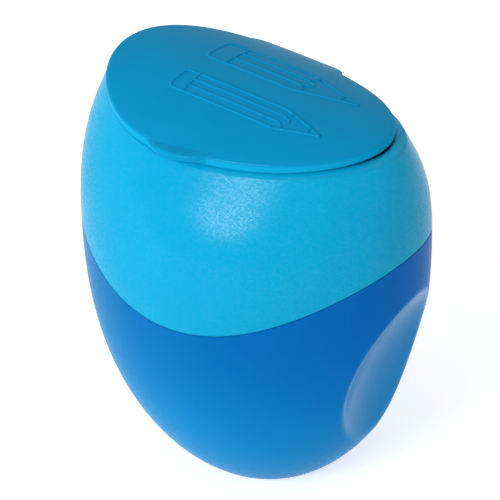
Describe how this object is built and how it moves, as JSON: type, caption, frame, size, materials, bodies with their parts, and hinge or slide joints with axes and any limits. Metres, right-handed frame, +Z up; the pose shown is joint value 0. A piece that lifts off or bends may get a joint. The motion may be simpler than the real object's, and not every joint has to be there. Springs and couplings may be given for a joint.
{
  "type": "pencil sharpener",
  "caption": "Egg-shaped hand-held pencil sharpener with a shavings container, a lift-off head that carries wedge cutters with blades, and a hinged flip lid over the pencil holes.",
  "frame": {"origin": "middle of the flat base on which the sharpener stands", "axes": "+Z up, X along the long axis of the egg, front with the thumb tab towards -Y, hinge towards +Y"},
  "size_m": [0.058, 0.0488, 0.0692],
  "materials": {
    "container_plastic": "milky translucent deep blue plastic with a satin face",
    "head_plastic": "finely grained satin cyan plastic",
    "lid_plastic": "satin cyan plastic, a shade deeper than the head",
    "carrier_plastic": "satin moulded plastic",
    "wedge_metal": "drawn light-metal bar, cut and bored",
    "blade_steel": "ground carbon steel",
    "screw_steel": "zinc-plated steel"
  },
  "bodies": {
    "container": {"shavings_container": "container_plastic"},
    "head": {"head_shell": "head_plastic", "cutter_carrier": "carrier_plastic", "wedge_standard": "wedge_metal", "wedge_jumbo": "wedge_metal", "blade_standard": "blade_steel", "blade_jumbo": "blade_steel", "blade_screws": "screw_steel"},
    "lid": {"lid": "lid_plastic"}
  },
  "joints": [
    {"name": "head_lift", "type": "slide", "parent": "container", "child": "head", "axis": [0, 0, 1], "range_m": [0, 0.05]},
    {"name": "lid_hinge", "type": "hinge", "parent": "head", "child": "lid", "pos_m": [-0.00335, 0.01792, 0.06107], "axis": [-1, 0, 0], "range_deg": [0, 110]}
  ]
}
